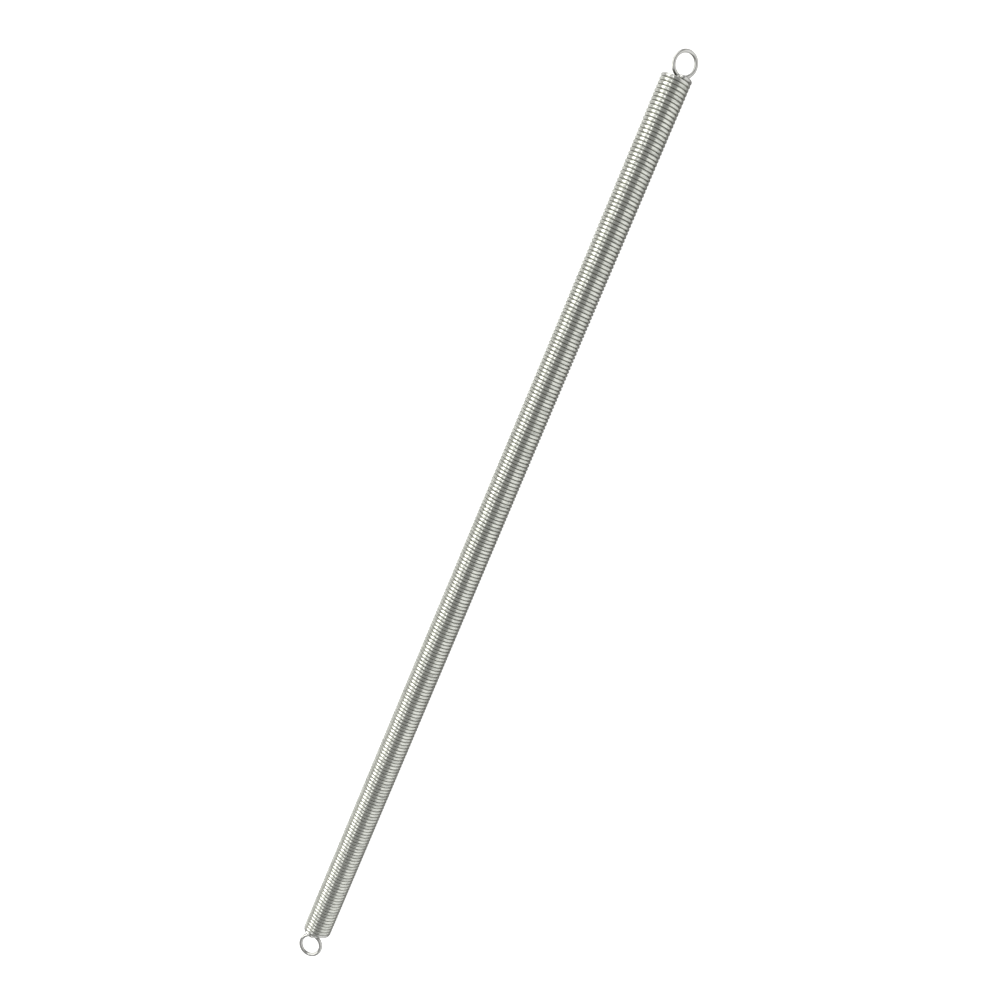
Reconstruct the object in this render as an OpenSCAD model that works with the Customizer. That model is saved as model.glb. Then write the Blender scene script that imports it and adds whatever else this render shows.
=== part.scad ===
/* [Wire and coil] */
// Diameter of the round wire
wire_d = 1.6; // [1.2:0.05:1.9]
// Outside diameter of the coil body
coil_od = 12.7; // [11:0.1:16]
// Number of close-wound turns in the body
turns = 257; // [20:1:300]
// How deeply neighbouring turns press into each other, which makes them one solid
turn_bite = 0.01; // [0.005:0.005:0.03]

/* [Eyes] */
// Outside diameter of each eye, a full loop of the same wire
eye_od = 11.4; // [9:0.1:12.5]
// Clear space between the last turn and the foot of an eye
eye_gap = 0.4; // [0.2:0.1:3]
// Angle of the open stretch between an eye's foot and the wire's cut end
eye_opening = 20; // [10:1:40]
// How far the near eye's plane is turned about the spring's axis
near_eye_turn = 25; // [0:1:30]
// How far the far eye's plane is turned about the spring's axis
far_eye_turn = 10; // [0:1:30]
// How far the near eye's centre lies beside the spring's axis
near_eye_offset = 0.9; // [0:0.1:1]
// How far the far eye's centre lies beside the spring's axis
far_eye_offset = 0.2; // [0:0.1:1]

/* [Legs] */
// Where the wire leaves the last turn, as an angle past the side of the coil
leg_start = 65; // [45:1:80]
// How steeply the wire leaves the last turn
leg_rise = 15; // [10:1:25]
// Where the leg runs into its eye, as an angle past the eye's foot
leg_end = 25; // [15:1:40]
// Diameter of the slight knuckle at each bend of a leg
knuckle_d = 1.63; // [1.62:0.01:2]

/* [Hidden] */
$fn = 64;

// The spring lies along X, with its near end at +X, and rests on the plane z = 0.
steel = [0.78, 0.78, 0.75];
along = [1, 0, 0];
coil_r = (coil_od - wire_d) / 2;
pitch = wire_d - turn_bite;
last_turn_x = (turns - 1) * pitch / 2;
eye_r = (eye_od - wire_d) / 2;
eye_x = last_turn_x + wire_d / 2 + eye_gap + eye_od / 2;

function unit(v) = v / norm(v);

// Tangent length of the two equal-armed bends that span v, from direction t to direction u
function bend_arm(v, t, u) =
    let (a = 2 * (1 - t * u), b = 2 * v * (t + u))
    (sqrt(b * b + 4 * a * v * v) - b) / (2 * a);

// Wire bent to the one arc that starts at p along t and ends at q
module bend(p, t, q) {
    chord = q - p;
    rise = chord - (chord * t) * t;
    r = chord * chord / (2 * norm(rise));
    out = -unit(rise);
    normal = cross(out, t);
    centre = p - r * out;
    sweep = 2 * atan2(norm(rise), chord * t);
    multmatrix([for (i = [0 : 2]) [out[i], t[i], normal[i], centre[i]]])
        rotate_extrude(angle = sweep)
            translate([r, 0])
                circle(d = wire_d);
}

module knuckle(p) {
    translate(p)
        sphere(d = knuckle_d);
}

// The close-wound turns, each a ring of wire pressed against the next
module coil_body() {
    rotate([0, 90, 0])
        rotate_extrude()
            for (k = [0 : turns - 1])
                translate([coil_r, k * pitch - last_turn_x])
                    circle(d = wire_d);
}

// Leg and full-loop eye at the +X end: the leg leaves the upper side of the last turn,
// crosses to the middle of the coil and closes into the loop, whose cut end stays open
module eye(turn, offset) {
    across = [0, cos(turn), sin(turn)];
    centre = [eye_x, -offset, 0];
    start = [last_turn_x, -coil_r * cos(leg_start), coil_r * sin(leg_start)];
    start_run = [sin(leg_rise), cos(leg_rise) * sin(leg_start), cos(leg_rise) * cos(leg_start)];
    entry = centre + eye_r * (sin(leg_end) * across - cos(leg_end) * along);
    entry_run = cos(leg_end) * across + sin(leg_end) * along;
    cut_end = centre - eye_r * (sin(eye_opening) * across + cos(eye_opening) * along);
    arm = bend_arm(entry - start, start_run, entry_run);
    first_arm = start + arm * start_run;
    second_arm = entry - arm * entry_run;
    middle = (first_arm + second_arm) / 2;
    knuckle(start);
    bend(start, start_run, middle);
    knuckle(middle);
    bend(middle, unit(second_arm - first_arm), entry);
    knuckle(entry);
    bend(entry, entry_run, cut_end);
}

// The whole spring, one length of wire
module spring() {
    color(steel)
        translate([0, 0, coil_od / 2]) {
            coil_body();
            eye(near_eye_turn, near_eye_offset);
            rotate([0, 0, 180])
                eye(far_eye_turn, far_eye_offset);
        }
}

spring();
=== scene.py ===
# Builds one close-wound extension spring and the studio it lies in
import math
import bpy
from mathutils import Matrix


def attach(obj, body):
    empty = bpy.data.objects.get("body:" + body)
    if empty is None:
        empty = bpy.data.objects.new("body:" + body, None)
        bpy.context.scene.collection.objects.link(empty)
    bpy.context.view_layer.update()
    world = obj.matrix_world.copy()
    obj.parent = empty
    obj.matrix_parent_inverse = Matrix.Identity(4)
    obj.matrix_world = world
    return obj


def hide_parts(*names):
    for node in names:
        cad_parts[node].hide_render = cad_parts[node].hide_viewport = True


bl_info = {
    "name": "Extension Spring",
    "version": (1, 0, 0),
    "blender": (4, 5, 0),
    "location": "3D View > Sidebar > Spring",
    "description": "A close-wound extension spring with an eye at each end",
    "category": "Object",
}

import bpy
from bpy.props import FloatProperty
from bpy.props import FloatVectorProperty
from bpy.props import IntProperty
from bpy.props import PointerProperty
from mathutils import Matrix
from mathutils import Vector

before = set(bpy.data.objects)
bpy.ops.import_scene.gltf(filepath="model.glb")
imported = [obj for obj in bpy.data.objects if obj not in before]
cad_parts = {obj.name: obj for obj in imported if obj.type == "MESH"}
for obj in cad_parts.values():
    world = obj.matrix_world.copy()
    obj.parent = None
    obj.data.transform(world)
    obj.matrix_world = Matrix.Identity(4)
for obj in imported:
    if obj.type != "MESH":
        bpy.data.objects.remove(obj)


# Fixed values

WHITE = (1.0, 1.0, 1.0, 1.0)
ALONG = Vector((1.0, 0.0, 0.0))

# Steps of the mesh, edges in parts of the wire's radius, and an angle in degrees
LEG_STEPS = 14
EYE_STEPS = 44
CUT_EDGE = 0.12
PLAIN_TURNS = 0.8
SHARP_ANGLE = 65

# Marks on the wire, painted shade where the turns meet and a darker painted shade on the bent ends
MARKS = {"stretch": (0.05, 1.0, 1.0), "scale": 9000.0, "detail": 3.0}
STAINS = {"stretch": (0.3, 1.0, 1.0), "scale": 900.0, "detail": 2.0}
MARK_SHARE = 0.6
STAIN_SHARE = 0.4
WORN_RANGE = (0.46, 0.62)
# Where the painted shade between the turns starts and ends, in parts of the wire's radius
MEETING_INSIDE = (-0.8, -0.35)
MEETING_OUTSIDE = (0.25, 0.75)
BENT_RANGE = (0.0, 0.3)
GAP_SHADE_ROUGHNESS = 0.2
BENT_GLOSS = 0.09
BENT_DULLNESS = 0.08
BUMP_STRENGTH = 0.25
BUMP_HEIGHT = 0.00002

# Floor, cards, lamps and camera
FLOOR_HALF = 1.4
CARD_HALF = 0.35
CARD_LIFT = 0.0005
# Grey cards that only reflections show: painted reflections, on the right of a shaded floor beside
# the spring, on the left of a darker, warm-tinted floor
CARDS = (
    {"name": "right_flag", "low": -0.029, "high": -0.006, "shade": (0.458, 0.45, 0.44)},
    {"name": "left_flag", "low": 0.030, "high": 0.350, "shade": (0.632, 0.62, 0.595)},
)
PAST_NEAR_END = (0.56, 0.0, 0.006)
MIDDLE = (0.0, 0.0, 0.006)
LAMPS = (
    {"name": "Key", "position": (0.56, 0.746, 0.299), "target": PAST_NEAR_END,
     "width": 2.28, "height": 0.33, "strength": 3.4, "tint": (1.0, 1.0, 0.955)},
    {"name": "Second", "position": (0.56, 0.376, 0.712), "target": PAST_NEAR_END,
     "width": 2.42, "height": 0.12, "strength": 2.05},
    {"name": "Fill", "position": (0.0, 0.546, 0.585), "target": MIDDLE,
     "width": 3.0, "height": 0.28, "strength": 0.5},
    {"name": "Soft", "position": (0.0, -0.693, 0.406), "target": MIDDLE,
     "width": 3.0, "height": 0.83, "strength": 0.80},
)
SENSOR_WIDTH = 36.0
NEAREST_SEEN = 0.01


# Settings

def length(name, description, default):
    """A size or a coordinate in metres."""
    return FloatProperty(name=name, description=description, default=default,
                         precision=5, subtype="DISTANCE", unit="LENGTH")


def angle(name, description, degrees):
    """An angle, given here in degrees."""
    return FloatProperty(name=name, description=description, default=math.radians(degrees),
                         subtype="ANGLE", unit="ROTATION")


def number(name, description, default):
    """A plain factor."""
    return FloatProperty(name=name, description=description, default=default, min=0.0)


def colour(name, description, default):
    """A linear colour."""
    return FloatVectorProperty(name=name, description=description, default=default,
                               size=3, min=0.0, max=1.0, subtype="COLOR")


class SpringSizes(bpy.types.PropertyGroup):
    """Sizes of the wire, the coil and the two eyes"""

    wire_diameter: length("Wire", "Diameter of the wire", 0.0016)
    coil_diameter: length("Coil", "Outer diameter of the coil", 0.0127)
    near_turn: length("Near turn", "From the middle to the near end of the winding", 0.20423)
    far_turn: length("Far turn", "From the middle to the far end of the winding", 0.20225)
    turns: IntProperty(name="Turns", description="Turns of the coil, an odd number",
                       default=257, min=21)
    leg_start: angle("Leg start", "Where on the last turn a leg leaves the coil", 57)
    leg_end: angle("Leg end", "Where on its eye a leg becomes a circle", 21)
    eye_diameter: length("Eye", "Outer diameter of an eye", 0.0114)
    near_eye: length("Near eye", "From the middle of the spring to the near eye's centre", 0.20975)
    far_eye: length("Far eye", "From the middle of the spring to the far eye's centre", 0.21042)
    eye_opening: angle("Eye opening", "Where on its eye the wire is cut", 20)
    near_eye_turn: angle("Near eye turn", "How far the near eye is turned on the axis", 25)
    far_eye_turn: angle("Far eye turn", "How far the far eye is turned on the axis", 10)
    near_eye_offset: length("Near eye offset", "How far the near eye lies off the axis", 0.0009)
    far_eye_offset: length("Far eye offset", "How far the far eye lies off the axis", 0.0002)
    wire_sides: IntProperty(name="Wire sides", description="Sides of the wire's section",
                            default=12, min=6)
    turn_steps: IntProperty(name="Steps per turn", description="Steps of the mesh in one turn",
                            default=30, min=12)


class SpringFinish(bpy.types.PropertyGroup):
    """Colours and marks of the plated wire, with painted shade between the turns and on the bent
    ends
    """

    metal: colour("Metal", "Colour of the plating", (0.66, 0.67, 0.62))
    dark_metal: colour("Dark metal", "Colour of the plating in the drawing marks",
                       (0.42, 0.43, 0.40))
    # Painted shade: the bent ends get a darker copy of the plating, for the darker reflections they
    # show
    eye_shade_metal: colour("Shaded eye metal", "Colour of the bent ends", (0.54, 0.54, 0.52))
    # Painted shade: the colour painted deep between the turns, where they meet
    gap_shade: colour("Gap shade", "Colour deep between the turns", (0.45, 0.45, 0.415))
    roughness: number("Roughness", "Roughness of the clean plating", 0.17)
    mark_roughness: number("Mark roughness", "Roughness added in the marks", 0.22)


class SpringStage(bpy.types.PropertyGroup):
    """Camera, lamps and floor"""

    target_x: length("Target X", "Place along the spring at the picture's middle", 0.02121)
    target_y: length("Target Y", "Place across the spring at the picture's middle", -0.00053)
    distance: length("Distance", "Camera distance from its target", 0.46762)
    lean: angle("Lean", "Lean of the view toward the near end", 12)
    roll: angle("Roll", "Turn of the picture", 22.88)
    lens: FloatProperty(name="Lens", description="Focal length in millimetres",
                        default=39.6, min=1.0)
    floor_colour: colour("Floor", "Colour of the floor", (0.90, 0.90, 0.90))
    floor_glow: number("Floor glow", "White added to the floor in the picture", 0.63)
    floor_sheen: number("Floor sheen", "White added to the floor in reflections", 0.20)
    sky: number("Sky", "Strength of the room's light", 0.37)


# Shader graph helper

class Socket:
    """One output of a node, with sums written as sums."""

    def __init__(self, graph, output):
        self.graph = graph
        self.output = output

    def __add__(self, other):
        return self.graph.math("ADD", self, other)

    def __radd__(self, other):
        return self.graph.math("ADD", other, self)

    def __sub__(self, other):
        return self.graph.math("SUBTRACT", self, other)

    def __rsub__(self, other):
        return self.graph.math("SUBTRACT", other, self)

    def __mul__(self, other):
        return self.graph.math("MULTIPLY", self, other)

    def __truediv__(self, other):
        return self.graph.math("DIVIDE", self, other)


class Graph:
    """The node tree of a material or a world."""

    def __init__(self, tree):
        self.tree = tree
        tree.nodes.clear()

    def add(self, kind, settings=None, inputs=None):
        """Adds a node, sets its settings first and then its inputs."""
        node = self.tree.nodes.new(kind)
        for name, value in (settings or {}).items():
            setattr(node, name, value)
        for name, value in (inputs or {}).items():
            self.put(node.inputs[name], value)
        return node

    def put(self, socket, value):
        """Links an output to a socket, or sets the socket to a constant."""
        if isinstance(value, Socket):
            self.tree.links.new(value.output, socket)
        else:
            socket.default_value = value

    def out(self, node, name):
        return Socket(self, node.outputs[name])

    def math(self, operation, first, second):
        node = self.add("ShaderNodeMath", {"operation": operation}, {0: first, 1: second})
        return self.out(node, 0)

    def ramp(self, value, low, high, to_low=0.0, to_high=1.0):
        """Maps low..high to to_low..to_high, smoothly and with clamped ends."""
        node = self.add("ShaderNodeMapRange", {"interpolation_type": "SMOOTHSTEP"},
                        {"Value": value, "From Min": low, "From Max": high,
                         "To Min": to_low, "To Max": to_high})
        return self.out(node, "Result")

    def blend(self, factor, first, second):
        """Mixes two colours."""
        node = self.add("ShaderNodeMix", {"data_type": "RGBA"},
                        {"Factor": factor, 6: first, 7: second})
        return self.out(node, 2)

    def noise(self, vector, stretch, scale, detail):
        """Noise over a vector that is multiplied by a factor for each axis first."""
        stretched = self.add("ShaderNodeVectorMath", {"operation": "MULTIPLY"},
                             {0: vector, 1: stretch})
        node = self.add("ShaderNodeTexNoise", None,
                        {"Vector": self.out(stretched, "Vector"), "Scale": scale,
                         "Detail": detail})
        return self.out(node, "Fac")


def rgba(value):
    """A colour with full alpha."""
    return (value[0], value[1], value[2], 1.0)


# Geometry

def coil_radius(sizes):
    return (sizes.coil_diameter - sizes.wire_diameter) / 2


def end_angle(sizes):
    """Winding angle at the near end of the coil."""
    return math.pi * sizes.turns + sizes.leg_start


def helix_frame(sizes, t):
    """Centre, direction and outward normal of the wire at a winding angle."""
    radius = coil_radius(sizes)
    half = end_angle(sizes) - math.pi / 2
    rise = (sizes.near_turn + sizes.far_turn) / (2 * half)
    middle = (sizes.near_turn - sizes.far_turn) / 2
    outward = Vector((0.0, math.cos(t), -math.sin(t)))
    centre = radius * outward + Vector((middle + rise * (t - math.pi / 2), 0.0, 0.0))
    run = Vector((rise, -radius * math.sin(t), -radius * math.cos(t))).normalized()
    return centre, run, outward


def bend_arm(gap, leaving, arriving):
    """Length of the two equal arms of the pair of arcs that crosses a gap."""
    a = 2 * (1 - leaving.dot(arriving))
    b = 2 * gap.dot(leaving + arriving)
    return (math.sqrt(b * b + 4 * a * gap.dot(gap)) - b) / (2 * a)


def arc(start, run, finish, steps):
    """Points and directions on the arc that leaves start along run and ends at finish."""
    chord = finish - start
    rise = chord - chord.dot(run) * run
    radius = chord.dot(chord) / (2 * rise.length)
    inward = rise.normalized()
    centre = start + radius * inward
    sweep = 2 * math.atan2(rise.length, chord.dot(run))
    points = []
    for k in range(1, steps + 1):
        a = sweep * k / steps
        point = centre + radius * (math.sin(a) * run - math.cos(a) * inward)
        points.append((point, math.cos(a) * run + math.sin(a) * inward))
    return points


def end_path(sizes, place, turn, offset, shift):
    """Points and directions of a leg and its eye, from the near end of the coil.

    The leg is a pair of arcs that meet tangentially, and the eye is one more arc.
    """
    across = Vector((0.0, math.cos(turn), math.sin(turn)))
    radius = (sizes.eye_diameter - sizes.wire_diameter) / 2
    centre = Vector((place, -offset, 0.0))
    start, start_run = helix_frame(sizes, end_angle(sizes))[:2]
    start = start - shift * ALONG
    sin_end = math.sin(sizes.leg_end)
    cos_end = math.cos(sizes.leg_end)
    entry = centre + radius * (sin_end * across - cos_end * ALONG)
    entry_run = cos_end * across + sin_end * ALONG
    arm = bend_arm(entry - start, start_run, entry_run)
    first = start + arm * start_run
    second = entry - arm * entry_run
    middle = (first + second) / 2
    cut = centre - radius * (math.sin(sizes.eye_opening) * across
                             + math.cos(sizes.eye_opening) * ALONG)
    path = arc(start, start_run, middle, LEG_STEPS)
    path += arc(middle, (second - first).normalized(), entry, LEG_STEPS)
    path += arc(entry, entry_run, cut, EYE_STEPS)
    return path


def carried(path, run, normal):
    """Carries a normal along a path without twist."""
    frames = []
    for point, direction in path:
        normal = run.rotation_difference(direction) @ normal
        run = direction
        frames.append((point, direction, normal.copy()))
    return frames


def about_z(v):
    """Half a turn about the upright axis."""
    return Vector((-v[0], -v[1], v[2]))


def wire_frames(sizes):
    """Frames along the whole wire, from the far eye's end to the near eye's end."""
    last = end_angle(sizes)
    first = math.pi - last
    steps = round((last - first) / (2 * math.pi) * sizes.turn_steps)
    coil = [helix_frame(sizes, first + (last - first) * k / steps) for k in range(steps + 1)]
    run, outward = helix_frame(sizes, last)[1:]
    short = sizes.near_turn - sizes.far_turn
    near = end_path(sizes, sizes.near_eye, sizes.near_eye_turn, sizes.near_eye_offset, 0.0)
    far = end_path(sizes, sizes.far_eye, sizes.far_eye_turn, sizes.far_eye_offset, short)
    near = carried(near, run, outward)
    far = carried(far, run, outward)
    far = [(about_z(p), -about_z(d), about_z(n)) for p, d, n in far]
    coil_start = len(far)
    return far[::-1] + coil + near, coil_start, coil_start + len(coil)


def wire_rings(sizes):
    """Frames with a radius and a mark each, with rounded edges at the cut ends.

    The mark is 0 on the bent ends and on most of the turn beside each, and rises to 1
    over the next turn of the coil.
    """
    frames, first, last = wire_frames(sizes)
    radius = sizes.wire_diameter / 2
    edge = radius * CUT_EDGE
    rings = []
    for k, (p, d, n) in enumerate(frames):
        inside = min(k - first, last - 1 - k) / sizes.turn_steps
        rings.append((p, d, n, radius, min(max(inside - PLAIN_TURNS, 0.0), 1.0)))
    for index, sign in ((0, 1), (-1, -1)):
        p, d, n, r, mark = rings[index]
        rings[index] = (p + sign * edge * d, d, n, r, mark)
        tip = (p, d, n, r - edge, mark)
        rings.insert(0 if index == 0 else len(rings), tip)
    return rings


def spring_mesh(sizes):
    """The wire as one mesh, with two attributes for its material.

    One holds the coordinates of the straightened wire, the other the mark of each ring.
    """
    rings = wire_rings(sizes)
    sides = sizes.wire_sides
    lift = Vector((0.0, 0.0, sizes.coil_diameter / 2))
    circle = [(math.cos(2 * math.pi * k / sides), math.sin(2 * math.pi * k / sides))
              for k in range(sides)]
    points = []
    straight = []
    coiled = []
    travelled = 0.0
    before = rings[0][0]
    for centre, run, normal, radius, mark in rings:
        travelled += (centre - before).length
        before = centre
        side = run.cross(normal)
        for c, s in circle:
            points.append(lift + centre + radius * (c * normal + s * side))
            straight.extend((travelled, radius * c, radius * s))
            coiled.append(mark)
    faces = []
    for ring in range(len(rings) - 1):
        base = ring * sides
        for k in range(sides):
            after = (k + 1) % sides
            faces.append((base + k, base + after, base + sides + after, base + sides + k))
    faces.append(tuple(range(sides - 1, -1, -1)))
    top = (len(rings) - 1) * sides
    faces.append(tuple(range(top, top + sides)))
    mesh = bpy.data.meshes.new("spring_wire")
    mesh.from_pydata(points, [], faces)
    store = mesh.attributes.new("straight", "FLOAT_VECTOR", "POINT")
    store.data.foreach_set("vector", straight)
    store = mesh.attributes.new("coiled", "FLOAT", "POINT")
    store.data.foreach_set("value", coiled)
    mesh.shade_smooth()
    mesh.set_sharp_from_angle(angle=math.radians(SHARP_ANGLE))
    mesh.validate()
    return mesh


# Materials

def new_material(name):
    """A material and its empty graph."""
    material = bpy.data.materials.new(name)
    material.use_nodes = True
    return material, Graph(material.node_tree)


def wire_material(finish, sizes):
    """Bright plated wire with fine drawing marks along it, painted shade where the turns meet and a
    darker painted shade on the bent ends.
    """
    material, g = new_material("Plated wire")
    stored = g.add("ShaderNodeAttribute", {"attribute_name": "straight"})
    straight = g.out(stored, "Vector")
    marks = g.noise(straight, **MARKS)
    stains = g.noise(straight, **STAINS)
    worn = g.ramp(marks * MARK_SHARE + stains * STAIN_SHARE, *WORN_RANGE)
    coiled = g.out(g.add("ShaderNodeAttribute", {"attribute_name": "coiled"}), "Fac")
    parts = g.add("ShaderNodeSeparateXYZ", None, {0: straight})
    outward = g.out(parts, "Y") / (sizes.wire_diameter / 2)
    # Painted shade: the plating is darkened and roughened where neighbouring turns meet, for the
    # shade in the grooves between them, but not on the bent ends
    meeting = g.ramp(outward, *MEETING_INSIDE) * g.ramp(outward, *MEETING_OUTSIDE, 1.0, 0.0)
    gap_shade = meeting * coiled
    shade = g.blend(worn, rgba(finish.metal), rgba(finish.dark_metal))
    # Painted shade on the bent ends: a darker copy of the plating stands in for their darker
    # reflections
    bent = g.ramp(coiled, *BENT_RANGE, 1.0, 0.0)
    shade = g.blend(bent, shade, rgba(finish.eye_shade_metal))
    shade = g.blend(gap_shade, shade, rgba(finish.gap_shade))
    rough = (finish.roughness + worn * finish.mark_roughness
             + gap_shade * GAP_SHADE_ROUGHNESS - bent * BENT_GLOSS)
    bump = g.add("ShaderNodeBump", None,
                 {"Strength": BUMP_STRENGTH, "Distance": BUMP_HEIGHT, "Height": marks})
    surface = g.add("ShaderNodeBsdfPrincipled", None,
                    {"Base Color": shade, "Metallic": 1.0 - bent * BENT_DULLNESS,
                     "Roughness": rough, "Normal": g.out(bump, "Normal")})
    g.add("ShaderNodeOutputMaterial", None, {"Surface": g.out(surface, "BSDF")})
    return material


def floor_material(stage):
    """A pale matt floor that reads white to the camera and keeps the shadow."""
    material, g = new_material("Floor")
    path = g.add("ShaderNodeLightPath")
    matt = g.out(g.add("ShaderNodeBsdfDiffuse", None, {"Color": rgba(stage.floor_colour)}), "BSDF")
    surface = matt
    for ray, strength in (("Is Glossy Ray", stage.floor_sheen), ("Is Camera Ray", stage.floor_glow)):
        glow = g.add("ShaderNodeEmission", None, {"Color": WHITE, "Strength": strength})
        lit = g.add("ShaderNodeAddShader", None, {0: matt, 1: g.out(glow, "Emission")})
        chosen = g.add("ShaderNodeMixShader", None,
                       {0: g.out(path, ray), 1: surface, 2: g.out(lit, 0)})
        surface = g.out(chosen, 0)
    g.add("ShaderNodeOutputMaterial", None, {"Surface": surface})
    return material


def world_light(stage):
    """White to the camera and a dimmer even room to everything else."""
    world = bpy.data.worlds.new("Studio")
    world.use_nodes = True
    g = Graph(world.node_tree)
    path = g.add("ShaderNodeLightPath")
    room = g.add("ShaderNodeBackground", None, {"Color": WHITE, "Strength": stage.sky})
    white = g.add("ShaderNodeBackground", None, {"Color": WHITE, "Strength": 1.0})
    both = g.add("ShaderNodeMixShader", None,
                 {0: g.out(path, "Is Camera Ray"), 1: g.out(room, "Background"),
                  2: g.out(white, "Background")})
    g.add("ShaderNodeOutputWorld", None, {"Surface": g.out(both, 0)})
    return world


# Scene pieces

def add_object(name, data):
    """Links new data to the scene as an object."""
    obj = bpy.data.objects.new(name, data)
    bpy.context.scene.collection.objects.link(obj)
    return obj


def add_sheet(name, half, low, high):
    """A level rectangle from x -half to half and from y low to high."""
    mesh = bpy.data.meshes.new(name)
    corners = [(-half, low, 0.0), (half, low, 0.0), (half, high, 0.0), (-half, high, 0.0)]
    mesh.from_pydata(corners, [], [(0, 1, 2, 3)])
    return add_object(name, mesh)


def add_lamp(name, position, target, width, height, strength, tint=(1.0, 1.0, 1.0)):
    """An area lamp whose surface shines at the given strength."""
    data = bpy.data.lights.new(name, "AREA")
    data.color = tint
    data.shape = "RECTANGLE"
    data.size = width
    data.size_y = height
    data.energy = strength * math.pi * width * height
    lamp = add_object(name, data)
    aim = (Vector(target) - Vector(position)).normalized()
    along = (ALONG - ALONG.dot(aim) * aim).normalized()
    up = (-aim).cross(along)
    lamp.matrix_world = Matrix.Translation(position) @ Matrix(
        (along, up, -aim)).transposed().to_4x4()
    return lamp


def add_flag(name, low, high, shade):
    """A grey card beside the spring, from y low to y high, that only its reflections show: a painted
    reflection of darker surroundings, hidden from the camera, from diffuse light and from shadows.
    """
    flag = add_sheet(name, CARD_HALF, low, high)
    flag.location = (0.0, 0.0, CARD_LIFT)
    flag.visible_camera = False
    flag.visible_diffuse = False
    flag.visible_shadow = False
    material, g = new_material(name)
    matt = g.add("ShaderNodeBsdfDiffuse", None, {"Color": rgba(shade)})
    g.add("ShaderNodeOutputMaterial", None, {"Surface": g.out(matt, "BSDF")})
    flag.data.materials.append(material)
    return flag


def add_camera(stage, axis_height):
    """A camera above the spring that leans toward its near end."""
    data = bpy.data.cameras.new("Camera")
    data.sensor_width = SENSOR_WIDTH
    data.lens = stage.lens
    data.clip_start = NEAREST_SEEN
    camera = add_object("Camera", data)
    lean = stage.lean
    view = Vector((-math.sin(lean), 0.0, -math.cos(lean)))
    axis = Vector((math.cos(lean), 0.0, -math.sin(lean)))
    side = view.cross(axis)
    up = math.cos(stage.roll) * axis - math.sin(stage.roll) * side
    right = math.cos(stage.roll) * side + math.sin(stage.roll) * axis
    target = Vector((stage.target_x, stage.target_y, axis_height))
    camera.matrix_world = Matrix.Translation(target - stage.distance * view) @ Matrix(
        (right, up, -view)).transposed().to_4x4()
    bpy.context.scene.camera = camera
    return camera


class OBJECT_OT_add_spring_wire(bpy.types.Operator):
    """Add the spring's wire: the coil, both legs and both eyes"""

    bl_idname = "object.add_spring_wire"
    bl_label = "Add Spring Wire"

    def execute(self, context):
        sizes = context.scene.spring_sizes
        obj = add_object("spring_wire", spring_mesh(sizes))
        obj.data.materials.append(wire_material(context.scene.spring_finish, sizes))
        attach(obj, "root")
        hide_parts("spring")
        return {"FINISHED"}


class OBJECT_OT_add_spring_stage(bpy.types.Operator):
    """Add the floor, the world, the lamps, the cards and the camera"""

    bl_idname = "object.add_spring_stage"
    bl_label = "Add Spring Stage"

    def execute(self, context):
        scene = context.scene
        stage = scene.spring_stage
        floor = add_sheet("floor", FLOOR_HALF, -FLOOR_HALF, FLOOR_HALF)
        floor.data.materials.append(floor_material(stage))
        scene.world = world_light(stage)
        for lamp in LAMPS:
            add_lamp(**lamp)
        for card in CARDS:
            add_flag(**card)
        add_camera(stage, scene.spring_sizes.coil_diameter / 2)
        scene.view_settings.view_transform = "Standard"
        return {"FINISHED"}


class VIEW3D_PT_spring(bpy.types.Panel):
    """Sizes, finish and stage of the spring"""

    bl_idname = "VIEW3D_PT_spring"
    bl_label = "Spring"
    bl_space_type = "VIEW_3D"
    bl_region_type = "UI"
    bl_category = "Spring"

    def draw(self, context):
        layout = self.layout
        scene = context.scene
        for group in (scene.spring_sizes, scene.spring_finish, scene.spring_stage):
            column = layout.column(align=True)
            for name in group.__annotations__:
                column.prop(group, name)
        layout.operator("object.add_spring_wire")
        layout.operator("object.add_spring_stage")


CLASSES = (
    SpringSizes,
    SpringFinish,
    SpringStage,
    OBJECT_OT_add_spring_wire,
    OBJECT_OT_add_spring_stage,
    VIEW3D_PT_spring,
)


def register():
    for cls in CLASSES:
        bpy.utils.register_class(cls)
    bpy.types.Scene.spring_sizes = PointerProperty(type=SpringSizes)
    bpy.types.Scene.spring_finish = PointerProperty(type=SpringFinish)
    bpy.types.Scene.spring_stage = PointerProperty(type=SpringStage)


def unregister():
    del bpy.types.Scene.spring_stage
    del bpy.types.Scene.spring_finish
    del bpy.types.Scene.spring_sizes
    for cls in reversed(CLASSES):
        bpy.utils.unregister_class(cls)


def main():
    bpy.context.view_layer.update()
    register()
    bpy.ops.object.add_spring_wire()
    bpy.ops.object.add_spring_stage()


if __name__ == "__main__":
    main()
